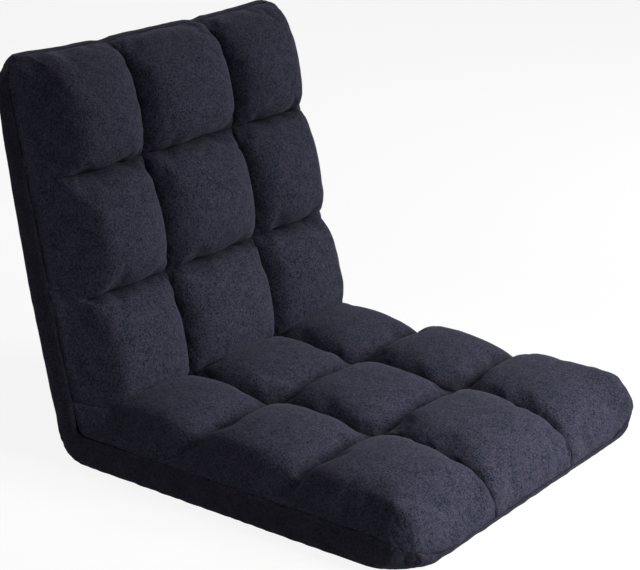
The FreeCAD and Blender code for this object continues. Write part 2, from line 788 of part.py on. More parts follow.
def on_outer_side(outside, half):
    """Picks the edges where the outside of the fold meets its two flat sides."""
    turn = math.radians(float(s.rest_angle) - 90)

    def test(edge):
        box = edge.BoundBox
        if abs(abs(box.XMin) - half) > 0.01 or box.XLength > 0.01:
            return False
        middle = edge.valueAt((edge.FirstParameter + edge.LastParameter) / 2)
        under = abs(middle.z - outside) < 0.01
        behind = abs(middle.y * math.cos(turn) + middle.z * math.sin(turn) - outside) < 0.01
        return under or behind or edge.Curve.TypeId == "Part::GeomCircle"

    return test


def fold_cover(label):
    """The outer cloth round the fold: rear wrap and side gussets in one sewn piece."""
    start = s.elbow_start - s.soft_gap
    under = outer_face + s.wrap_step
    outside, bend = fold_block(
        label + "_outside", start, under, seat_seam, back_seam(start), fold_crease, s.chair_width,
        s.elbow_radius,
    )
    chamfer(outside, bend, on_outer_side(float(under), float(half_width)), inner_bevel, label + "_rolls")
    inner = under + s.cloth
    width = s.chair_width - 2 * s.cloth
    inside, bend = fold_block(
        label + "_inside", start + s.overcut, inner, seat_seam + s.overcut, back_seam_low + s.overcut,
        fold_crease + s.overcut, width, s.elbow_radius - s.cloth,
    )
    chamfer(inside, bend, on_outer_side(float(inner), float(width / 2)), inner_bevel, label + "_bevels")
    wrap = cut_away(label, outside, inside)
    place(wrap)
    return wrap


def fold_foam(label):
    """Soft foam that bends with the fold, between the two hinges."""
    skin = s.cloth + s.soft_gap
    start = s.core_start - s.soft_gap
    body, bend = fold_block(
        label, start, outer_face + skin, seat_level, back_level(start), seat_level - s.crease_drop,
        2 * (hinge_x - s.hinge_room), s.elbow_radius - skin,
    )
    place(body)
    return body


def back_seam(y):
    """Height of the back's side seam at a distance from the recline axis."""
    return back_seam_low + (back_seam_top - back_seam_low) * (y / (s.back_length + s.seam_run_out))


def back_level(y):
    """Height of the back's sewn grooves at a distance from the recline axis."""
    return back_level_low + (back_level_top - back_level_low) * (y / s.back_length)


# Quilted tufts: each is the side profile of its row, trimmed to the cross profile of its column
FOOT = 0.1
RISE = 0.8
SHOULDER_BOW = 0.11
SIDE_BOW = 0.03
HEM = 0.2
END_BOW = 0.19
FOLD_BOW = 0.15
PAST = 3


def bowed(first, second, bow):
    """A point beside the middle of a chord, on its upper side."""
    run = second[0] - first[0]
    rise = second[1] - first[1]
    return ((first[0] + second[0]) / 2 - bow * rise, (first[1] + second[1]) / 2 + bow * run)


class Quilt:
    """The sizes that the tufts of one panel share, in the panel's frame."""

    def __init__(self, name, length, low, high, height, seam, roll_end, corner, slope, fullness, back):
        self.name = name
        self.length = length
        self.low = low
        self.high = high
        self.height = height
        self.seam = seam
        self.roll_end = roll_end
        self.corner = corner
        self.slope = slope
        self.fullness = fullness
        self.back = back
        self.lean = atan((low - high) / length) if back else None

    def at(self, y, share):
        """A point at a share of the tufts' height above the groove level."""
        y = as_size(y)
        level = self.low + (self.high - self.low) * (y / self.length)
        return (y, level + self.height * share)

    def across(self, x, share):
        """The same in the cross profile, which leans with the grooves."""
        height = self.low + self.height * share
        if self.lean is not None:
            height = height * cos(self.lean)
        return (as_size(x), height)

    def above_seam(self, y):
        """A point just above the side seam."""
        first, second = self.seam[-2:]
        if y.value < first[0].value:
            return (y, first[1] + s.soft_gap)
        return (y, first[1] + (second[1] - first[1]) * ((y - first[0]) / (second[0] - first[0])) + s.soft_gap)

    def side_profile(self, near, far, row):
        """Corners and arcs of a row as seen from the side."""
        far = far - s.soft_gap / 2
        down = [self.at(far - s.tuft_shoulder, RISE), self.at(far, FOOT), self.above_seam(far)]
        if row == "fold":
            low = fold_crease + s.soft_gap
            slack = s.soft_gap / (2 * sin(half_rest))
            high = self.at(near, FOOT)[1]
            corners = [(low / tan(half_rest) + slack, low), (high / tan(half_rest) + slack, high)] + down
            corners.append(self.above_seam(s.elbow_start))
            arcs = {1: bowed(corners[1], corners[2], FOLD_BOW), 2: bowed(corners[2], corners[3], SHOULDER_BOW)}
            return corners, arcs
        near = near + s.soft_gap / 2
        corners = [self.above_seam(near), self.at(near, FOOT), self.at(near + s.tuft_shoulder, RISE)]
        arcs = {1: bowed(corners[1], corners[2], SHOULDER_BOW), 2: self.at((near + far) / 2, 1)}
        if row == "between":
            arcs[3] = bowed(down[0], down[1], SHOULDER_BOW)
            return corners + down, arcs
        roll = [self.at(far - s.end_shoulder, self.fullness), (far, self.roll_end)]
        arcs[3] = bowed(roll[0], roll[1], END_BOW)
        corners += roll + [self.above_seam(far)]
        if self.seam[-2][0].value > near.value:
            corners.append(self.above_seam(self.seam[-2][0]))
        return corners, arcs

    def cross_profile(self, column):
        """Corners and arcs of what lies over a column, as seen from the front."""
        groove = s.column_groove - s.soft_gap / 2
        if column == "centre":
            inner = -groove
            outer = groove
            fall = [self.across(outer - s.tuft_shoulder, RISE), self.across(outer, FOOT)]
            bow = SHOULDER_BOW
        else:
            inner = s.column_groove + s.soft_gap / 2
            outer = half_width
            hem = self.seam[0][1] + (self.low - self.seam[0][1]) * HEM
            fall = [self.across(outer - self.slope, self.fullness), (outer, hem)]
            bow = SIDE_BOW
        start = [self.across(inner, FOOT), self.across(inner + s.tuft_shoulder, RISE)]
        tall = as_size(TALL)
        corners = [(inner - PAST, tall), (inner - PAST, start[0][1])] + start + fall
        corners += [(outer + PAST, fall[1][1]), (outer + PAST, tall)]
        arcs = {
            2: bowed(start[0], start[1], SHOULDER_BOW),
            3: self.across((inner + outer) / 2, 1),
            4: bowed(fall[0], fall[1], bow),
        }
        return inner, outer, corners, arcs


def round_off(sketch, y, radius, inward):
    """What lies outside a round plan corner at the side of the panel."""
    edge = half_width
    past = y - inward * PAST
    turn = radius * (1 - cos(45))
    corners = [(edge + PAST, past), (edge + PAST, y + inward * radius), (edge, y + inward * radius),
               (edge - radius, y), (edge - radius, past)]
    outline(sketch, corners, {2: (edge - turn, y + inward * turn)})


def tuft(quilt, label, near, far, row, column):
    """One stuffed pocket of the quilting."""
    body = new_body(label)
    inner, outer, over, over_arcs = quilt.cross_profile(column)
    side = new_sketch(body, "YZ_Plane", label + "_side", (inner + outer) / 2)
    corners, arcs = quilt.side_profile(near, far, row)
    outline(side, corners, arcs)
    pad(body, side, outer - inner, label + "_row", both=True)
    cross = new_sketch(body, "XZ_Plane", label + "_cross", lean=quilt.lean)
    outline(cross, over, over_arcs)
    pocket(body, cross, label + "_column")
    core = new_sketch(body, "YZ_Plane", label + "_core")
    end = quilt.length - s.core_end_inset + s.soft_gap
    start = as_size(-TALL / 4)
    deep = as_size(-TALL / 4)
    outline(core, [(y, z + s.soft_gap) for y, z in (quilt.at(start, 0), quilt.at(end, 0))]
            + [(end, deep), (start, deep)])
    pocket(body, core, label + "_over_foam", 2 * (core_half + s.soft_gap), both=True)
    if column == "side":
        plan = new_sketch(body, "XY_Plane", label + "_plan")
        if row != "fold":
            round_off(plan, near, s.pucker, 1)
        round_off(plan, far, quilt.corner if row == "end" else s.pucker, -1)
        pocket(body, plan, label + "_drawn_in")
    place(body, back=quilt.back)
    return body


def add_tufts(quilt, rows):
    """Nine tufts, named by row and by the sitter's left, middle and right."""
    near_side, far_side = ("left", "right") if quilt.back else ("right", "left")
    made = []
    for row_name, row, near, far in rows:
        stem = f"{quilt.name}_tuft_{row_name}_"
        made.append(tuft(quilt, stem + "centre", near, far, row, "centre"))
        drawn = tuft(quilt, stem + near_side, near, far, row, "side")
        made += [drawn, mirrored(drawn, stem + far_side)]
    return made


# The chair: what the sitter sees as seat, then back, then what joins them
seat_seam_line = [(as_size(0), seat_seam), (s.seam_drop_start, seat_seam), (s.seat_length + s.seam_run_out, front_seam)]
back_seam_line = [(as_size(0), back_seam_low), (s.back_length + s.seam_run_out, back_seam_top)]
crease_y = seat_level / tan(half_rest)
lean_run = sin(s.frame_lean)

pieces = [
    cover("seat_bottom_cover", s.seat_length, s.seat_corner, seat_seam_line),
    cover("back_rear_cover", s.back_length, s.back_corner, back_seam_line, back=True),
    pad_body("seat_base_pad", s.seat_length, s.seat_corner, seat_seam_line,
             (s.seat_cross_rear, s.seat_cross_front)),
    pad_body("back_base_pad", s.back_length, s.back_corner, back_seam_line,
             (s.back_cross_low, s.back_cross_high), lean=s.frame_lean, back=True),
    felt("seat_felt", s.seat_length),
    felt("back_felt", s.back_length, lean=s.frame_lean, back=True),
    foam("seat_foam", s.seat_length, foam_low, foam_low, seat_level, seat_level),
    foam(
        "back_foam", s.back_length,
        foam_low - s.core_start * lean_run,
        foam_low - (s.back_length - s.core_end_inset) * lean_run,
        back_level(s.core_start), back_level(s.back_length - s.core_end_inset), back=True,
    ),
    frame_tube("seat_frame_tube", s.seat_length),
    frame_tube("back_frame_tube", s.back_length, lean=s.frame_lean, back=True),
    cross_tube("seat_cross_tube_rear", s.seat_cross_rear),
    cross_tube("seat_cross_tube_front", s.seat_cross_front),
    cross_tube("back_cross_tube_low", s.back_cross_low, lean=s.frame_lean, back=True),
    cross_tube("back_cross_tube_high", s.back_cross_high, lean=s.frame_lean, back=True),
    fold_cover("fold_cover"),
    fold_foam("fold_foam"),
]

for name, make in (
    ("outer_cheek", lambda label: cheek(label, 1)),
    ("inner_cheek", lambda label: cheek(label, -1)),
    ("outer_toothed_plate", lambda label: toothed_plate(label, -1)),
    ("inner_toothed_plate", lambda label: toothed_plate(label, 1)),
    ("pawl", pawl),
    ("pawl_spring", pawl_spring),
):
    right = make(name + "_right")
    pieces += [right, mirrored(right, name + "_left")]

grip = cheek_outside + s.pin_fit
span = cheek_inside - s.pin_fit
head = s.pivot_radius * 1.7
pieces += [
    pins("pivot_rivets", axis_point, [(head, -grip - s.rivet_head, -grip), (s.pivot_radius, -grip, grip),
                                      (head, grip, grip + s.rivet_head)]),
    pins("pawl_pins", (s.pawl_pin_y, s.pawl_pin_z), [(s.pin_radius, -span, span)]),
    pins("spacer_pins", (s.spacer_y, as_size(0)), [(s.pin_radius, -span, span)]),
]

seat_quilt = Quilt(
    "seat", s.seat_length, seat_level, seat_level, s.seat_tuft_height, seat_seam_line,
    s.seat_front_roll_end - s.axis_height, s.seat_corner, s.seat_side_slope, 0.7, False,
)
back_quilt = Quilt(
    "back", s.back_length, back_level_low, back_level_top, s.back_tuft_height, back_seam_line,
    s.back_top_roll_end - s.axis_height, s.back_corner, s.back_side_slope, 0.85, True,
)
pieces += add_tufts(seat_quilt, [
    ("rear", "fold", crease_y, s.seat_groove_rear),
    ("middle", "between", s.seat_groove_rear, s.seat_groove_front),
    ("front", "end", s.seat_groove_front, s.seat_length),
])
pieces += add_tufts(back_quilt, [
    ("low", "fold", crease_y, s.back_groove_low),
    ("middle", "between", s.back_groove_low, s.back_groove_high),
    ("top", "end", s.back_groove_high, s.back_length),
])

doc.recompute()
broken = [item.Label for item in doc.Objects if {"Invalid", "Error"} & set(item.State)]
broken += [p.Label for p in pieces if p.Shape.isNull() or not p.Shape.isValid() or not p.Shape.Solids]
if broken:
    raise RuntimeError(f"these did not build: {broken}")

os.makedirs("parts", exist_ok=True)
for piece in pieces:
    piece.Shape.exportStep(f"parts/{piece.Label}.step")
print(f"{len(pieces)} pieces written")
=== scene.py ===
# Floor chair: the quilted top, the plain cover round it, the pads under both and the finishes of
# the frame and the hinges.
#
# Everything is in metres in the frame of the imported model: +Z up, the sitter faces -Y and +X is
# to the sitter's left. The seat and the back are both described as panels: x across, d away from
# the recline axis and h above the panel's outer face.
import json
import math

import bpy
import numpy as np
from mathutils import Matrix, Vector
from mathutils.bvhtree import BVHTree


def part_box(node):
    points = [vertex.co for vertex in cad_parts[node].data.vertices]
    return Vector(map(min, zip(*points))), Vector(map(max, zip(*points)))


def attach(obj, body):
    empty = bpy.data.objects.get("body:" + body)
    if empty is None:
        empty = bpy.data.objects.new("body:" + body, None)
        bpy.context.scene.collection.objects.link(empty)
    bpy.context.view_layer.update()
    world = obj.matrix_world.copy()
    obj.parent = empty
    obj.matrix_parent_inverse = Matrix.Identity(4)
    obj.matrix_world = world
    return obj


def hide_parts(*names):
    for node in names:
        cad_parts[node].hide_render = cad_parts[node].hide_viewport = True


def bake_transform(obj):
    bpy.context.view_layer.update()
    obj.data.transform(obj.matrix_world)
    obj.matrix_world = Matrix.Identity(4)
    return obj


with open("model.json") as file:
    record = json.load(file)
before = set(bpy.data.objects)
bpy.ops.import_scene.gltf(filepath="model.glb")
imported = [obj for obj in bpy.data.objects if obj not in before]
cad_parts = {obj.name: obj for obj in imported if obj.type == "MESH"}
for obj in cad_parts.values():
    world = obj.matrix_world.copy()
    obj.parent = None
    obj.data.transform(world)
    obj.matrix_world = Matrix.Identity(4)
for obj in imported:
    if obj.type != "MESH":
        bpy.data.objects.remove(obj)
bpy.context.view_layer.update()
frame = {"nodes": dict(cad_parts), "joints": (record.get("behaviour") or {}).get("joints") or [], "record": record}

recline = next(joint for joint in frame["joints"] if joint["name"] == "back_recline")
AXIS = np.array(recline["pos_m"], float)
REST_ANGLE = math.radians(100)
HALF_REST = REST_ANGLE / 2


class Panel:
    """The seat or the back: where a point of the panel stands in the chair."""

    def __init__(self, name, along, out):
        self.name = name
        self.along = np.array(along)
        self.out = np.array(out)

    def world(self, x, d, h):
        """Points of the chair from arrays of x, d and h."""
        rise = h - AXIS[2]
        y = AXIS[1] + d * self.along[1] + rise * self.out[1]
        z = AXIS[2] + d * self.along[2] + rise * self.out[2]
        return np.stack(np.broadcast_arrays(x, y, z), axis=-1)

    def flat(self, y, z):
        """d and h of points given in the chair's frame."""
        y = np.asarray(y) - AXIS[1]
        z = np.asarray(z) - AXIS[2]
        return y * self.along[1] + z * self.along[2], y * self.out[1] + z * self.out[2] + AXIS[2]

    def box(self, node):
        """Lowest and highest x, d and h of a CAD node."""
        mesh = frame["nodes"][node].data
        points = np.array([vertex.co for vertex in mesh.vertices])
        d, h = self.flat(points[:, 1], points[:, 2])
        spread = np.stack([points[:, 0], d, h])
        return spread.min(1), spread.max(1)


SEAT = Panel("seat", (0, -1, 0), (0, 0, 1))
BACK = Panel(
    "back",
    (0, -math.cos(REST_ANGLE), math.sin(REST_ANGLE)),
    (0, -math.sin(REST_ANGLE), -math.cos(REST_ANGLE)),
)

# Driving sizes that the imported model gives
HALF_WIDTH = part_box("seat_bottom_cover")[1].x
SEAT_LENGTH = SEAT.box("seat_bottom_cover")[1][1]
BACK_LENGTH = BACK.box("back_rear_cover")[1][1]
COLUMN_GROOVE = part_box("seat_tuft_middle_centre")[1].x
SEAT_GROOVES = [SEAT.box("seat_tuft_middle_centre")[i][1] for i in (0, 1)]
BACK_GROOVES = [BACK.box("back_tuft_middle_centre")[i][1] for i in (0, 1)]

# Heights above the outer faces, read off the photograph
CREASE_HEIGHT = 0.062
SEAT_LEVELS = (CREASE_HEIGHT, 0.0600, 0.0600, 0.0630)
BACK_LEVELS = (CREASE_HEIGHT, 0.0550, 0.0460, 0.0425)
SEAT_CROWNS = (0.0905, 0.0905, 0.0885)
BACK_CROWNS = (0.0975, 0.0935, 0.0840)
SEAT_SEAM = 0.038
SEAT_TIP = 0.0295
SEAT_FRONT_SEAM = 0.0025
SEAT_END = 0.4985
BACK_DIP = 0.4725
BACK_SEAM_LOW = 0.033
BACK_SEAM_TOP = 0.017
SIDE_CREASE = (0.0126, 0.083)  # behind the recline axis, and above the floor
ELBOW_RADIUS = 0.045
SEAM_SINK = 0.0015

# Where the two panels meet: in the crease, at the crease's ends and in the mitre of the side seam
CREASE_D = (CREASE_HEIGHT - AXIS[2]) / math.tan(HALF_REST)
MITRE_D = (SEAT_SEAM - AXIS[2]) / math.tan(HALF_REST)
SIDE_CREASE_BACK = BACK.flat(AXIS[1] + SIDE_CREASE[0], SIDE_CREASE[1])
SIDE_CREASE_SEAT = SEAT.flat(AXIS[1] + SIDE_CREASE[0], SIDE_CREASE[1])

# The edge between the crowns and the sloping sides: how far along, and how far across
SEAT_ARRIS = [(0.10, 0.231), (0.25, 0.235), (0.42, 0.236), (0.46, 0.242), (0.48, 0.248), (0.497, 0.252)]
BACK_ARRIS = [(0.07, 0.227), (0.22, 0.215), (0.38, 0.212), (0.44, 0.216), (0.477, 0.228)]
ARRIS = 0.225

# Plan radius of the far corners at heights above the outer face
SEAT_CORNER = [(0.0, 0.060), (0.009, 0.041), (0.030, 0.018), (0.060, 0.045)]
BACK_CORNER = [(0.0, 0.038), (0.017, 0.034), (0.060, 0.046)]


def lerp(a, b, t):
    return a + (b - a) * t


def smooth(t):
    t = np.clip(t, 0, 1)
    return t * t * (3 - 2 * t)


def table(where, rows):
    """A value from a short table of places and values."""
    places, values = zip(*rows)
    return np.interp(where, places, values)


def spline(points, count):
    """Samples of a smooth curve through a few points, evenly spread along its length."""
    points = np.asarray(points, float)
    ends = np.vstack([2 * points[0] - points[1], points, 2 * points[-1] - points[-2]])
    pieces = []
    share = np.linspace(0, 1, 24, endpoint=False)[:, None]
    for a, b, c, e in zip(ends, ends[1:], ends[2:], ends[3:]):
        pieces.append(
            0.5 * (2 * b + (c - a) * share + (2 * a - 5 * b + 4 * c - e) * share**2
                   + (3 * b - a - 3 * c + e) * share**3)
        )
    curve = np.vstack(pieces + [points[-1:]])
    length = np.concatenate([[0], np.cumsum(np.linalg.norm(np.diff(curve, axis=0), axis=1))])
    wanted = np.linspace(0, length[-1], count)
    return np.stack([np.interp(wanted, length, curve[:, k]) for k in range(curve.shape[1])], axis=-1)


def swell(t, sharp, full):
    """From a groove to a crown: share of the way along and share of the height."""
    turn = np.asarray(t) * math.pi / 2
    return 1 - np.cos(turn) ** (2 / sharp), np.sin(turn) ** (2 / full)


# How sharply the cloth rises from a long groove and from a cross groove, and how full the crown is
WALL_SHAPE = (3.0, 2.0)
START_SHAPE = (2.8, 2.0)

# Across the panel, from the middle to the side seam
CENTRE_STEPS = 18
SIDE_STEPS = 18
FALL_STEPS = 22
SIDE_MIDDLE = (COLUMN_GROOVE + HALF_WIDTH) / 2
SIDE_RISE = 0.06
GROOVE_FALL = [(0.215, 1.0), (0.232, 0.985), (0.240, 0.85), (0.251, 0.42), (0.2625, 0.06)]


class Across:
    """Places and shares across half a panel, over the tufts and along a sewn groove."""

    def __init__(self, edge):
        run, rise = swell(np.linspace(1, 0, CENTRE_STEPS), *WALL_SHAPE)
        centre_x = COLUMN_GROOVE * (1 - run)
        inner, inner_rise = swell(np.linspace(0, 1, SIDE_STEPS)[1:], *WALL_SHAPE)
        inner_x = COLUMN_GROOVE + (SIDE_MIDDLE - COLUMN_GROOVE) * inner
        self.seam_x = HALF_WIDTH - SEAM_SINK
        slope = HALF_WIDTH - ARRIS
        full = self.fall([
            (ARRIS - 0.024, lerp(1, edge, 0.35)), (ARRIS - 0.007, lerp(1, edge, 0.78)),
            (ARRIS + 0.003, edge - 0.07), (ARRIS + 0.38 * slope, 0.56 * edge),
            (ARRIS + 0.72 * slope, 0.24 * edge), (HALF_WIDTH - 0.0005, 0.05),
        ])
        groove = self.fall(GROOVE_FALL)
        ones = np.ones(CENTRE_STEPS + SIDE_STEPS - 1)
        self.x_full = np.concatenate([centre_x, inner_x, full[:, 0]])
        self.x_groove = np.concatenate([centre_x, inner_x, groove[:, 0]])
        self.full = np.concatenate([ones, full[:, 1]])
        self.groove = np.concatenate([ones, groove[:, 1]])
        self.fill = np.concatenate([rise, inner_rise, np.ones(FALL_STEPS)])
        self.shift = table(self.x_full, [(SIDE_MIDDLE, 0), (ARRIS, 1), (self.seam_x, 0)])

    def fall(self, points):
        """Samples from the middle of a side tuft down to the seam."""
        line = [(SIDE_MIDDLE, 1)] + points + [(self.seam_x, 0)]
        scaled = spline([(x, share * SIDE_RISE) for x, share in line], FALL_STEPS + 1)[1:]
        return scaled / (1, SIDE_RISE)


def row(near, far, crest, fall, steps):
    """d and fill along one row of tufts: a steep start, the crest and a gentle fall."""
    middle = lerp(near, far, crest)
    up, up_fill = swell(np.linspace(0, 1, steps), *START_SHAPE)
    down, down_fill = swell(np.linspace(1, 0, steps)[1:], *fall)
    return (
        np.concatenate([near + (middle - near) * up, far - (far - middle) * down]),
        np.concatenate([up_fill, down_fill]),
    )


# Along the panel, for each row of tufts and for the end behind the last crown
ROW_STEPS = 17
END_STEPS = 26


class Along:
    """Stations along a panel, from the crease to the end seam."""

    def __init__(
        self, panel, grooves, levels, crowns, crests, fall, end_full, end_groove, arris, corner, path, end
    ):
        edges = [CREASE_D] + grooves
        d_parts, fill_parts, level_parts, crown_parts = [], [], [], []
        for i, crest in enumerate(crests):
            d, fill = row(edges[i], edges[i + 1], crest, fall, ROW_STEPS)
            keep = slice(0, None) if i == 0 else slice(1, None)
            share = (d - edges[i]) / (edges[i + 1] - edges[i])
            d_parts.append(d[keep])
            fill_parts.append(fill[keep])
            level_parts.append(lerp(levels[i], levels[i + 1], share)[keep])
            crown_parts.append(np.full(len(d), crowns[i])[keep])
        middle = end_full[0][0]
        up, up_fill = swell(np.linspace(0, 1, ROW_STEPS)[1:], *START_SHAPE)
        d_parts.append(edges[2] + (middle - edges[2]) * up)
        fill_parts.append(up_fill)
        level_parts.append(lerp(levels[2], levels[3], up))
        crown_parts.append(np.full(len(up), crowns[2]))
        full = spline(end_full, END_STEPS + 1)[1:]
        groove = spline(end_groove, END_STEPS + 1)[1:]
        self.d_full = np.concatenate(d_parts + [full[:, 0]])
        self.d_groove = np.concatenate(d_parts + [groove[:, 0]])
        self.fill = np.concatenate(fill_parts + [np.ones(END_STEPS)])
        self.level = np.concatenate(level_parts + [groove[:, 1]])
        self.crown = np.concatenate(crown_parts + [full[:, 1]])
        share = (self.d_full - CREASE_D) / (end_full[-1][0] - CREASE_D)
        self.seam = path(np.clip(share, 0, 1))
        self.arris = table(self.d_full, arris)
        self.ending = smooth((np.arange(len(self.d_full)) - len(self.d_full) + END_STEPS) / (END_STEPS - 1))
        self.corner = corner
        self.end = end
        self.panel = panel


def round_corner(x, d, h, length, radii):
    """Rounds the far corners of a panel's plan, by a radius that changes with the height."""
    radius = table(h, radii)
    i = np.clip((np.abs(x) - (HALF_WIDTH - radius)) / radius, 0, None)
    j = np.clip((d - (length - radius)) / radius, 0, None)
    both = (i > 0) & (j > 0)
    round_i = i * np.sqrt(np.clip(1 - j**2 / 2, 0, None))
    round_j = j * np.sqrt(np.clip(1 - i**2 / 2, 0, None))
    x_round = np.sign(x) * (HALF_WIDTH - radius + round_i * radius)
    d_round = length - radius + round_j * radius
    return np.where(both, x_round, x), np.where(both, d_round, d)


def quilt_points(along, across, length):
    """The quilted surface of one panel, from the crease row to the end seam, for x from 0 up."""
    seam_d, seam_h = (along.seam[:, k, None] for k in (0, 1))
    fill = along.fill[:, None] * across.fill[None, :]
    groove_d = seam_d + (along.d_groove[:, None] - seam_d) * across.groove[None, :]
    groove_h = seam_h + (along.level[:, None] - seam_h) * across.groove[None, :]
    full_d = seam_d + (along.d_full[:, None] - seam_d) * across.full[None, :]
    full_h = seam_h + (along.crown[:, None] - seam_h) * across.full[None, :]
    full_x = across.x_full[None, :] + (along.arris[:, None] - ARRIS) * across.shift[None, :]
    x = lerp(across.x_groove[None, :], full_x, along.fill[:, None])
    d = lerp(groove_d, full_d, fill)
    h = lerp(groove_h, full_h, fill)
    end_d, end_h = along.end(x[-1])
    ending = along.ending[:, None]
    d = d + ending * (end_d - d[-1])[None, :]
    h = h + ending * (end_h - h[-1])[None, :]
    x, d = round_corner(x, d, h, length, along.corner)
    return along.panel.world(x, d, h), fill


FLIP_X = (-1, 1, 1)


def both_halves(half, mirror=1):
    """Adds the mirror image of a half that starts at x = 0."""
    return np.concatenate([half[:, :0:-1] * mirror, half], axis=1)


def grid_object(name, points, turned=False):
    """A mesh of quads over a grid of points. turned makes the faces look the other way."""
    rows, columns = points.shape[:2]
    index = np.arange(rows * columns).reshape(rows, columns)
    faces = np.stack([index[:-1, :-1], index[:-1, 1:], index[1:, 1:], index[1:, :-1]], axis=-1)
    if turned:
        faces = faces[..., ::-1]
    mesh = bpy.data.meshes.new(name)
    mesh.from_pydata(points.reshape(-1, 3).tolist(), [], faces.reshape(-1, 4).tolist())
    mesh.polygons.foreach_set("use_smooth", [True] * len(mesh.polygons))
    made = bpy.data.objects.new(name, mesh)
    bpy.context.scene.collection.objects.link(made)
    return made


# The seams: those of the two sides meet in a mitre near the recline axis
FRONT_CLIMB_START = 0.165
EAR_START = 0.13
NOTCH_WIDTH = 0.013
NOTCH_DEPTH = 0.003


def seat_seam(d):
    return table(d, [(0.44, SEAT_SEAM), (0.47, 0.0365), (0.488, 0.0330), (SEAT_END, SEAT_TIP)])


def back_seam(d):
    return lerp(BACK_SEAM_LOW, BACK_SEAM_TOP, d / BACK_LENGTH)


def seat_end(x):
    """The front seam runs along the bottom edge and climbs to the tips of the corners."""
    climb = smooth((np.abs(x) - FRONT_CLIMB_START) / (HALF_WIDTH - FRONT_CLIMB_START)) ** 1.6
    return np.full(np.shape(x), SEAT_END), lerp(SEAT_FRONT_SEAM, SEAT_TIP, climb)


def back_end(x):
    """The top seam dips between the corners and at the grooves."""
    ear = smooth((np.abs(x) - EAR_START) / (HALF_WIDTH - EAR_START))
    notch = np.exp(-((np.abs(x) - COLUMN_GROOVE) / NOTCH_WIDTH) ** 2)
    return lerp(BACK_DIP, BACK_LENGTH, ear) - NOTCH_DEPTH * notch, np.full(np.shape(x), BACK_SEAM_TOP)


def along_path(points, share):
    """Points at shares of the length of a smooth path."""
    path = spline(points, 400)
    where = np.asarray(share) * (len(path) - 1)
    return np.stack([np.interp(where, np.arange(len(path)), path[:, k]) for k in (0, 1)], axis=-1)


def seat_path(share):
    """The seat quilt's edge: down the back's seam from the side crease, then forward."""
    turn = [SIDE_CREASE_SEAT, (MITRE_D - 0.002, SEAT_SEAM + 0.004), (MITRE_D + 0.006, SEAT_SEAM)]
    d = np.linspace(0.03, SEAT_END, 40)
    return along_path(turn + list(zip(d, seat_seam(d))), share)


def back_path(share):
    """The back quilt's edge: from the side crease up to the top corner."""
    d = np.linspace(SIDE_CREASE_BACK[0] + 0.02, BACK_LENGTH, 30)
    return along_path([SIDE_CREASE_BACK] + list(zip(d, back_seam(d))), share)


seat_along = Along(
    SEAT, SEAT_GROOVES, SEAT_LEVELS, SEAT_CROWNS, crests=(0.42, 0.36), fall=(2.0, 1.35),
    end_full=[(0.388, 0.0885), (0.420, 0.0845), (0.455, 0.0750), (0.478, 0.0620), (0.491, 0.0450),
              (0.4980, 0.0290), (0.5010, 0.0150), (0.5010, 0.0060), (SEAT_END, SEAT_FRONT_SEAM)],
    end_groove=[(0.388, 0.0630), (0.430, 0.0590), (0.460, 0.0540), (0.479, 0.0480), (0.490, 0.0400),
                (0.4965, 0.0290), (0.5005, 0.0150), (0.5010, 0.0060), (SEAT_END, SEAT_FRONT_SEAM)],
    arris=SEAT_ARRIS, corner=SEAT_CORNER, path=seat_path, end=seat_end,
)
back_along = Along(
    BACK, BACK_GROOVES, BACK_LEVELS, BACK_CROWNS, crests=(0.44, 0.42), fall=(2.3, 1.6),
    end_full=[(0.382, 0.0840), (0.415, 0.0795), (0.443, 0.0680), (0.461, 0.0510), (0.4705, 0.0330),
              (0.4730, 0.0230), (BACK_DIP, BACK_SEAM_TOP)],
    end_groove=[(0.382, 0.0425), (0.425, 0.0420), (0.450, 0.0380), (0.463, 0.0310), (0.4700, 0.0240),
                (BACK_DIP, BACK_SEAM_TOP)],
    arris=BACK_ARRIS, corner=BACK_CORNER, path=back_path, end=back_end,
)

# The grooves fade out before the side wall, and cloth that is filled less than SEWN is held
GROOVE_END = 0.228
GROOVE_FADE = 0.012
SEWN = 0.02

seat_half, seat_fill = quilt_points(seat_along, Across(0.86), SEAT_LENGTH)
back_half, back_fill = quilt_points(back_along, Across(0.92), BACK_LENGTH)
half = np.concatenate([seat_half[::-1], back_half[1:]])
quilt = grid_object("quilted_top", both_halves(half, FLIP_X))
past_arris = smooth((half[..., 0] - GROOVE_END) / GROOVE_FADE)
fill_half = lerp(np.concatenate([seat_fill[::-1], back_fill[1:]]), 1, past_arris)
# fullness also sets the painted shade that darkens the quilted cloth's colour in the grooves
fullness = quilt.data.attributes.new("fullness", "FLOAT", "POINT")
fullness.data.foreach_set("value", both_halves(fill_half).ravel())
sewn_half = fill_half < SEWN
sewn_half[:, -1] = sewn_half[0] = sewn_half[-1] = True
quilt_sewn = both_halves(sewn_half)

# The plain cover below the seam: a bulging side wall, a rolled edge and a flat outer face
WALL_ROLL = [(HALF_WIDTH - 0.030, 0.0), (HALF_WIDTH - 0.003, 0.0), (HALF_WIDTH + 0.002, 0.02),
             (HALF_WIDTH + 0.0045, 0.12), (HALF_WIDTH + 0.0055, 0.35), (HALF_WIDTH + 0.005, 0.65),
             (HALF_WIDTH + 0.0025, 0.90), (HALF_WIDTH - SEAM_SINK, 1.0)]
WALL_RISE = 0.035
FLAT_STEPS = 30
WALL_STEPS = 26
STATION_STEPS = 70
ROLL_STEPS = 20
ROLL_RUN = 0.03
END_EASE = 0.06
ELBOW_STEPS = 18
ELBOW_SHAPE = 1.5
UNDERSIDE_TOP = 0.0005
HELD_MARGIN = 0.02

# How far the back's outer face swells, from where, and how much shorter than the panel
BELLY = 0.0075
BELLY_START = 0.03
BELLY_SHORTER = 0.05


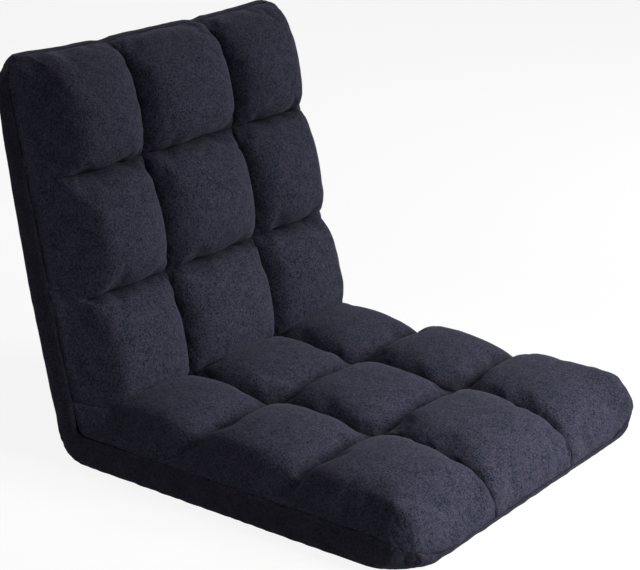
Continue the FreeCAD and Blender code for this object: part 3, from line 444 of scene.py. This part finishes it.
def cover_rows(panel, side_seam, end, length, corner, stations, lift, belly):
    """Rows of the plain cover over one panel, each from the middle to the seam."""
    flat = WALL_ROLL[0][0]
    wall = np.concatenate([
        np.stack([np.linspace(0, flat, FLAT_STEPS, endpoint=False), np.zeros(FLAT_STEPS)], axis=-1),
        spline([(x, share * WALL_RISE) for x, share in WALL_ROLL], WALL_STEPS) / (1, WALL_RISE),
    ])
    x = np.broadcast_to(wall[None, :, 0], (len(stations), len(wall)))
    share = 1 - (1 - wall[None, :, 1]) * (1 - lift[:, None])
    end_d, end_h = end(wall[:, 0])
    near_end = smooth((stations - (length - END_EASE)) / END_EASE)[:, None]
    d = stations[:, None] + near_end * (end_d - stations[-1])[None, :]
    seam = lerp(side_seam(stations)[:, None], end_h[None, :], lift[:, None])
    along_belly = np.clip((stations - BELLY_START) / (length - BELLY_SHORTER), 0, 1)
    swollen = belly * np.sin(math.pi * along_belly) ** 0.8
    h = seam * share - swollen[:, None] * (1 - share)
    x, d = round_corner(x, d, h, length, corner)
    return panel.world(x, d, h)


def end_stations(start, length):
    """Stations to the far end of a panel, with how far the outer face lifts towards the seam."""
    straight = np.linspace(start, length - ROLL_RUN, STATION_STEPS)
    roll = spline([(length - ROLL_RUN, 0.0), (length - 0.003, 0.0), (length + 0.002, 0.001),
                   (length + 0.004, 0.006), (length + 0.004, 0.016), (length + 0.002, 0.030),
                   (length, WALL_RISE)], ROLL_STEPS)[1:]
    return (
        np.concatenate([straight, roll[:, 0]]),
        np.concatenate([np.zeros(STATION_STEPS), roll[:, 1] / WALL_RISE]),
    )


outer_corner = AXIS[2] / math.tan(HALF_REST)
elbow_start = ELBOW_RADIUS / math.tan(HALF_REST) - outer_corner
seat_cover = cover_rows(
    SEAT, seat_seam, seat_end, SEAT_LENGTH, SEAT_CORNER, *end_stations(elbow_start, SEAT_LENGTH), 0
)
back_cover = cover_rows(
    BACK, back_seam, back_end, BACK_LENGTH, BACK_CORNER, *end_stations(elbow_start, BACK_LENGTH), BELLY
)


def elbow_rows(first, last):
    """Rows round the outside of the fold, between the two panels' first rows."""
    turn = np.linspace(0, math.pi - REST_ANGLE, ELBOW_STEPS)[1:-1]
    centre = SEAT.world(0, elbow_start, ELBOW_RADIUS)
    corner_line = np.array([0, AXIS[1] - MITRE_D, SEAT_SEAM])
    rows_made = []
    for angle in turn:
        share = angle / (math.pi - REST_ANGLE)
        outer = centre + ELBOW_RADIUS * np.array([0, math.sin(angle), -math.cos(angle)])
        ends = lerp(first[-1], last[-1], share)
        seam = lerp(ends, corner_line, 1 - abs(2 * share - 1) ** ELBOW_SHAPE)
        lift = first[:, 2] / first[-1, 2]
        line = lerp(outer[None, :], seam[None, :], lift[:, None])
        line[:, 0] = first[:, 0]
        rows_made.append(line)
    return np.array(rows_made)


elbow = elbow_rows(seat_cover[0], back_cover[0])
cover_half = np.concatenate([seat_cover[::-1], elbow, back_cover])
cover = grid_object("plain_cover", both_halves(cover_half, FLIP_X), turned=True)
underside = cover_half[..., 2] < UNDERSIDE_TOP
held_half = underside | (cover_half[..., 0] < WALL_ROLL[0][0] - HELD_MARGIN)
held_half[:, -1] = held_half[0] = held_half[-1] = True
cover_sewn = both_halves(held_half)


# Stuffing: the cloth is blown up from inside between its sewn lines and puckers there
UNEVEN = 0.0003
SMOOTHINGS = 24
SWELLING_LOST = 0.6
SIMULATED_FRAMES = 20
FLOOR_GAP = 0.0005


def places(mesh):
    """The mesh's points as an array."""
    flat = np.empty(len(mesh.vertices) * 3)
    mesh.vertices.foreach_get("co", flat)
    return flat.reshape(-1, 3)


def without_swelling(shift, shape):
    """Keeps the puckers of the simulated cloth and takes most of its even swelling away."""
    slow = shift.reshape(*shape, 3)
    for _ in range(SMOOTHINGS):
        wide = np.pad(slow, ((1, 1), (1, 1), (0, 0)), mode="edge")
        slow = (wide[:-2, 1:-1] + wide[2:, 1:-1] + wide[1:-1, :-2] + wide[1:-1, 2:]) / 4
    return shift - SWELLING_LOST * slow.reshape(-1, 3)


def stuffed(piece, sewn, spare, limit, seed):
    """Simulates the stuffed cloth. spare is its extra length, and limit the most that it may move."""
    base = places(piece.data)
    rough = np.random.default_rng(seed).normal(0, UNEVEN, base.shape)
    piece.data.vertices.foreach_set("co", (base + rough * ~sewn.reshape(-1, 1)).ravel())
    held = piece.vertex_groups.new(name="sewn")
    held.add(np.flatnonzero(sewn.ravel()).tolist(), 1.0, "REPLACE")
    modifier = piece.modifiers.new("cloth", "CLOTH")
    cloth = modifier.settings
    cloth.quality = 5
    cloth.mass = 0.3
    cloth.use_pressure = True
    cloth.uniform_pressure_force = 4
    cloth.effector_weights.gravity = 0
    cloth.shrink_min = -spare
    cloth.tension_stiffness = 20
    cloth.compression_stiffness = 20
    cloth.bending_stiffness = 0.4
    cloth.vertex_group_mass = "sewn"
    modifier.collision_settings.use_collision = False
    modifier.point_cache.frame_end = SIMULATED_FRAMES
    for number in range(1, SIMULATED_FRAMES + 1):
        bpy.context.scene.frame_set(number)
    depsgraph = bpy.context.evaluated_depsgraph_get()
    shift = without_swelling(places(piece.evaluated_get(depsgraph).data) - base, sewn.shape)
    bpy.context.scene.frame_set(1)
    piece.modifiers.remove(modifier)
    piece.vertex_groups.remove(held)
    length = np.linalg.norm(shift, axis=1, keepdims=True)
    shift *= limit * np.tanh(length / limit) / np.maximum(length, 1e-9)
    grown = base + shift
    grown[:, 2] = np.maximum(grown[:, 2], np.minimum(base[:, 2], FLOOR_GAP))
    piece.data.vertices.foreach_set("co", grown.ravel())
    piece.data.update()


stuffed(quilt, quilt_sewn, spare=0.05, limit=0.0028, seed=3)
stuffed(cover, cover_sewn, spare=0.02, limit=0.0015, seed=5)
for piece in (quilt, cover):
    subdivide = piece.modifiers.new("smooth", "SUBSURF")
    subdivide.levels = 1
    subdivide.render_levels = 1


# The foam and the base pads, fitted under the cloth round them
PAD_VOXEL = 0.007
PAD_GAPS = [(0.05, 0.014), (0.12, 0.004)]  # distance from the recline axis, and gap to the cloth
SINK_STEP = 0.0015
SINK_STEPS = 12
PAD_REACH = 0.018
PAD_HALF_WIDTH = HALF_WIDTH - 0.008
RAY_NUDGE = 1e-5
RAYS = [Vector(ray) for ray in ((0.3, 0.2, 0.93), (0.9, -0.3, 0.31), (-0.8, 0.5, -0.33))]


def cloth_surface():
    """The evaluated cloth of the quilt and the cover, as one tree of faces."""
    depsgraph = bpy.context.evaluated_depsgraph_get()
    points, faces = [], []
    for piece in (quilt, cover):
        mesh = piece.evaluated_get(depsgraph).to_mesh()
        first = len(points)
        points += [tuple(place) for place in places(mesh)]
        faces += [[first + i for i in face.vertices] for face in mesh.polygons]
    return BVHTree.FromPolygons(points, faces)


def is_inside(surface, point):
    """Whether most rays from a point leave the cloth an odd number of times."""
    votes = 0
    for ray in RAYS:
        crossings = 0
        place = surface.ray_cast(point, ray)[0]
        while place is not None:
            crossings += 1
            place = surface.ray_cast(place + ray * RAY_NUDGE, ray)[0]
        votes += crossings % 2
    return votes >= 2


def fitted_pad(name, node, panel, surface, sinks=False):
    """A soft pad in the place of a CAD node, kept a little under the cloth."""
    down = -Vector(panel.out) * SINK_STEP
    rounded = bpy.data.objects.new(name + "_block", frame["nodes"][node].data.copy())
    bpy.context.scene.collection.objects.link(rounded)
    remesh = rounded.modifiers.new("remesh", "REMESH")
    remesh.mode = "VOXEL"
    remesh.voxel_size = PAD_VOXEL
    depsgraph = bpy.context.evaluated_depsgraph_get()
    mesh = bpy.data.meshes.new_from_object(rounded.evaluated_get(depsgraph))
    bpy.data.objects.remove(rounded)
    for vertex in mesh.vertices:
        gap = table(panel.flat(vertex.co.y, vertex.co.z)[0], PAD_GAPS)
        for _ in range(SINK_STEPS if sinks else 0):
            if surface.find_nearest(vertex.co)[3] > gap and is_inside(surface, vertex.co):
                break
            vertex.co += down
        near, _, _, distance = surface.find_nearest(vertex.co)
        if distance < PAD_REACH:
            inward = (vertex.co - near).normalized()
            inside = is_inside(surface, vertex.co)
            if not inside or distance < gap:
                vertex.co = near + inward * (gap if inside else -gap)
        vertex.co.x = min(max(vertex.co.x, -PAD_HALF_WIDTH), PAD_HALF_WIDTH)
    mesh.polygons.foreach_set("use_smooth", [True] * len(mesh.polygons))
    pad = bpy.data.objects.new(name, mesh)
    bpy.context.scene.collection.objects.link(pad)
    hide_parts(node)
    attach(pad, panel.name)


surface = cloth_surface()
fitted_pad("seat_foam_core", "seat_foam", SEAT, surface, sinks=True)
fitted_pad("back_foam_core", "back_foam", BACK, surface, sinks=True)
fitted_pad("seat_base_padding", "seat_base_pad", SEAT, surface)
fitted_pad("back_base_padding", "back_base_pad", BACK, surface)


# Materials
GRAIN_SCALE = 520
THREAD_SCALE = 640
PATCH_SCALE = 70
MOTTLE_SCALE = 240
THREAD_STRETCH = 0.35
DARKER_MOTTLE = 0.82
COOL = (0.90, 0.98, 1.0)
WARM = (1.0, 0.92, 0.94)


def material(name):
    """A new material, with its nodes, its links and its shader."""
    made = bpy.data.materials.new(name)
    made.use_nodes = True
    return made, made.node_tree.nodes, made.node_tree.links, made.node_tree.nodes["Principled BSDF"]


def noise_texture(nodes, links, place, scale, detail, stretch=(1, 1, 1)):
    """A noise in object space, with its grains stretched along one direction or none."""
    mapping = nodes.new("ShaderNodeMapping")
    mapping.inputs["Scale"].default_value = stretch
    texture = nodes.new("ShaderNodeTexNoise")
    texture.inputs["Scale"].default_value = scale
    texture.inputs["Detail"].default_value = detail
    texture.inputs["Roughness"].default_value = 0.6
    links.new(place.outputs["Object"], mapping.inputs["Vector"])
    links.new(mapping.outputs["Vector"], texture.inputs["Vector"])
    return texture.outputs["Fac"]


def mixed(nodes, links, share, first, second):
    """A value between two values."""
    mix = nodes.new("ShaderNodeMix")
    mix.data_type = "FLOAT"
    mix.inputs["Factor"].default_value = share
    links.new(first, mix.inputs[2])
    links.new(second, mix.inputs[3])
    return mix.outputs[0]


def multiplied(nodes, links, first, second):
    """One colour times another."""
    mix = nodes.new("ShaderNodeMix")
    mix.data_type = "RGBA"
    mix.blend_type = "MULTIPLY"
    mix.inputs["Factor"].default_value = 1
    links.new(first, mix.inputs[6])
    links.new(second, mix.inputs[7])
    return mix.outputs[2]


def bumped(nodes, links, shader, height, strength, distance):
    """Gives a shader the relief of a height."""
    bump = nodes.new("ShaderNodeBump")
    bump.inputs["Strength"].default_value = strength
    bump.inputs["Distance"].default_value = distance
    links.new(height, bump.inputs["Height"])
    links.new(bump.outputs["Normal"], shader.inputs["Normal"])


def ramp_of(nodes, links, value, stops):
    """Colours for a value, from two stops of a place and a colour."""
    ramp = nodes.new("ShaderNodeValToRGB")
    for element, (position, colour) in zip(ramp.color_ramp.elements, stops):
        element.position = position
        element.color = (*colour, 1)
    links.new(value, ramp.inputs["Fac"])
    return ramp.outputs["Color"]


def painted_groove_shade(nodes, links, colour):
    """Painted shade along the stitches: the colour is darkened by how full the quilting is at a point."""
    fullness = nodes.new("ShaderNodeAttribute")
    fullness.attribute_name = "fullness"
    groove_shade = ramp_of(nodes, links, fullness.outputs["Fac"], [(0.0, (0.22, 0.20, 0.26)), (0.5, (1, 1, 1))])
    return multiplied(nodes, links, colour, groove_shade)


def cloth_material(name, dark, light, quilted):
    """Heather cloth: pale and dark fibres mixed in small flecks, mottled, with a short nap."""
    made, nodes, links, shader = material(name)
    place = nodes.new("ShaderNodeTexCoord")
    grain = noise_texture(nodes, links, place, GRAIN_SCALE, 2)
    across = noise_texture(nodes, links, place, THREAD_SCALE, 1, (1, THREAD_STRETCH, THREAD_STRETCH))
    along = noise_texture(nodes, links, place, THREAD_SCALE, 1, (THREAD_STRETCH, 1, 1))
    patch = noise_texture(nodes, links, place, PATCH_SCALE, 4)
    threads = mixed(nodes, links, 0.5, across, along)
    fibres = mixed(nodes, links, 0.5, grain, threads)
    flecks = mixed(nodes, links, 0.16, fibres, patch)
    shade = ramp_of(nodes, links, flecks, [(0.40, dark), (0.60, light)])
    hue = ramp_of(nodes, links, patch, [(0.35, COOL), (0.65, WARM)])
    colour = multiplied(nodes, links, shade, hue)
    if quilted:
        # Painted shade: the quilted cloth's colour is made darker in its grooves
        colour = painted_groove_shade(nodes, links, colour)
    links.new(colour, shader.inputs["Base Color"])
    bumped(nodes, links, shader, fibres, 0.6, 0.0008)
    shader.inputs["Roughness"].default_value = 0.95
    shader.inputs["Specular IOR Level"].default_value = 0.15
    shader.inputs["Sheen Weight"].default_value = 0.06
    shader.inputs["Sheen Roughness"].default_value = 0.4
    shader.inputs["Sheen Tint"].default_value = (0.60, 0.58, 0.75, 1)
    return made


def plain_material(name, colour, roughness, metallic=0.0):
    """A finish with slight mottling, for parts that the cloth hides."""
    made, nodes, links, shader = material(name)
    place = nodes.new("ShaderNodeTexCoord")
    noise = nodes.new("ShaderNodeTexNoise")
    noise.inputs["Scale"].default_value = MOTTLE_SCALE
    noise.inputs["Detail"].default_value = 4
    links.new(place.outputs["Object"], noise.inputs["Vector"])
    darker = tuple(DARKER_MOTTLE * channel for channel in colour)
    mottled = ramp_of(nodes, links, noise.outputs["Fac"], [(0.3, darker), (0.7, colour)])
    links.new(mottled, shader.inputs["Base Color"])
    bumped(nodes, links, shader, noise.outputs["Fac"], 0.2, 0.0004)
    shader.inputs["Roughness"].default_value = roughness
    shader.inputs["Metallic"].default_value = metallic
    return made


quilted_cloth = cloth_material("quilted_cloth", (0.009, 0.009, 0.017), (0.063, 0.063, 0.096), quilted=True)
plain_cloth = cloth_material("plain_cloth", (0.007, 0.007, 0.012), (0.042, 0.040, 0.062), quilted=False)
finishes = {
    "firm_foam": plain_material("firm_foam", (0.55, 0.50, 0.38), 0.95),
    "soft_foam": plain_material("soft_foam", (0.78, 0.74, 0.62), 0.95),
    "felt": plain_material("felt", (0.20, 0.20, 0.21), 0.98),
    "frame_steel": plain_material("frame_steel", (0.05, 0.05, 0.055), 0.45, 0.3),
    "hinge_steel": plain_material("hinge_steel", (0.55, 0.55, 0.56), 0.35, 1.0),
    "spring_steel": plain_material("spring_steel", (0.40, 0.41, 0.44), 0.25, 1.0),
    "quilted_cloth": quilted_cloth,
    "plain_cloth": plain_cloth,
}


def paint(piece, finish):
    """Gives a piece one finish."""
    piece.data.materials.clear()
    piece.data.materials.append(finish)


paint(quilt, quilted_cloth)
paint(cover, plain_cloth)
for subpart in frame["record"]["subparts"]:
    paint(frame["nodes"][subpart["node"]], finishes[subpart["material_slot"]])

# The quilt and the cover, each one piece round the crease between the seat and the back, take the place of the CAD
# tufts and covers, which are hidden; their placing is baked into their meshes
TUFTS = [name for name in frame["nodes"] if "_tuft_" in name]
for piece, nodes_hidden, slot in (
    (quilt, TUFTS, "quilted_cloth"),
    (cover, ["seat_bottom_cover", "back_rear_cover", "fold_cover"], "plain_cloth"),
):
    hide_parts(*nodes_hidden)
    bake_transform(piece)


# Studio
FLOOR_HALF = 9
FLOOR_WHITE = 0.88
FLOOR_SHADE = (0.2, 0.2, 0.2, 1)


def seen_rays(nodes, links):
    """1 for the rays of the camera and of what mirrors or passes the background."""
    path = nodes.new("ShaderNodeLightPath")
    seen = path.outputs["Is Camera Ray"]
    for other in ("Is Glossy Ray", "Is Transmission Ray"):
        either = nodes.new("ShaderNodeMath")
        either.operation = "MAXIMUM"
        links.new(seen, either.inputs[0])
        links.new(path.outputs[other], either.inputs[1])
        seen = either.outputs[0]
    return seen


def floor_object():
    """A floor that the camera sees almost white, and the chair's light sees as grey."""
    reach = (-FLOOR_HALF, FLOOR_HALF)
    floor = grid_object("floor", np.array([[(x, y, 0.0) for x in reach] for y in reach], float))
    made, nodes, links, shader = material("floor")
    shader.inputs["Base Color"].default_value = (0.5, 0.5, 0.5, 1)
    shader.inputs["Roughness"].default_value = 0.9
    shader.inputs["Specular IOR Level"].default_value = 0.1
    white = nodes.new("ShaderNodeEmission")
    white.inputs["Strength"].default_value = FLOOR_WHITE
    shaded = nodes.new("ShaderNodeBsdfDiffuse")
    shaded.inputs["Color"].default_value = FLOOR_SHADE
    background = nodes.new("ShaderNodeAddShader")
    links.new(white.outputs[0], background.inputs[0])
    links.new(shaded.outputs[0], background.inputs[1])
    choose = nodes.new("ShaderNodeMixShader")
    links.new(seen_rays(nodes, links), choose.inputs["Fac"])
    links.new(shader.outputs[0], choose.inputs[1])
    links.new(background.outputs[0], choose.inputs[2])
    links.new(choose.outputs[0], nodes["Material Output"].inputs["Surface"])
    paint(floor, made)


def lamp(name, place, aim, size, power, spread):
    """A round soft box, aimed at a point. A smaller spread in degrees keeps its light together."""
    data = bpy.data.lights.new(name, "AREA")
    data.spread = math.radians(spread)
    data.shape = "DISK"
    data.size = size
    data.energy = power
    made = bpy.data.objects.new(name, data)
    made.location = place
    made.rotation_euler = (Vector(aim) - Vector(place)).to_track_quat("-Z", "Y").to_euler()
    bpy.context.scene.collection.objects.link(made)


floor_object()
lamp("key", (1.9, -1.2, 1.3), aim=(0, 0.05, 0.15), size=0.9, power=35, spread=180)
lamp("front", (0.25, -1.3, 0.65), aim=(0, -0.35, 0.05), size=0.6, power=1.7, spread=50)
world = bpy.data.worlds.new("studio")
bpy.context.scene.world = world
world.use_nodes = True
sky = world.node_tree
sky.nodes["Background"].inputs["Color"].default_value = (1, 0.95, 1, 1)
sky.nodes["Background"].inputs["Strength"].default_value = 0.15
white_sky = sky.nodes.new("ShaderNodeBackground")
white_sky.inputs["Color"].default_value = (1, 1, 1, 1)
sky_choice = sky.nodes.new("ShaderNodeMixShader")
sky.links.new(seen_rays(sky.nodes, sky.links), sky_choice.inputs["Fac"])
sky.links.new(sky.nodes["Background"].outputs[0], sky_choice.inputs[1])
sky.links.new(white_sky.outputs[0], sky_choice.inputs[2])
sky.links.new(sky_choice.outputs[0], sky.nodes["World Output"].inputs["Surface"])
bpy.context.scene.view_settings.view_transform = "Standard"

# The camera stands where the photograph was taken from
camera = bpy.data.cameras.new("camera")
camera.lens = 99.5
camera.sensor_width = 36
camera.clip_end = 60
view = bpy.data.objects.new("camera", camera)
view.location = (-1.6858, -1.2152, 0.9342)
view.rotation_euler = (math.radians(90 - 19.08), 0, math.radians(-52.643))
bpy.context.scene.collection.objects.link(view)
bpy.context.scene.camera = view
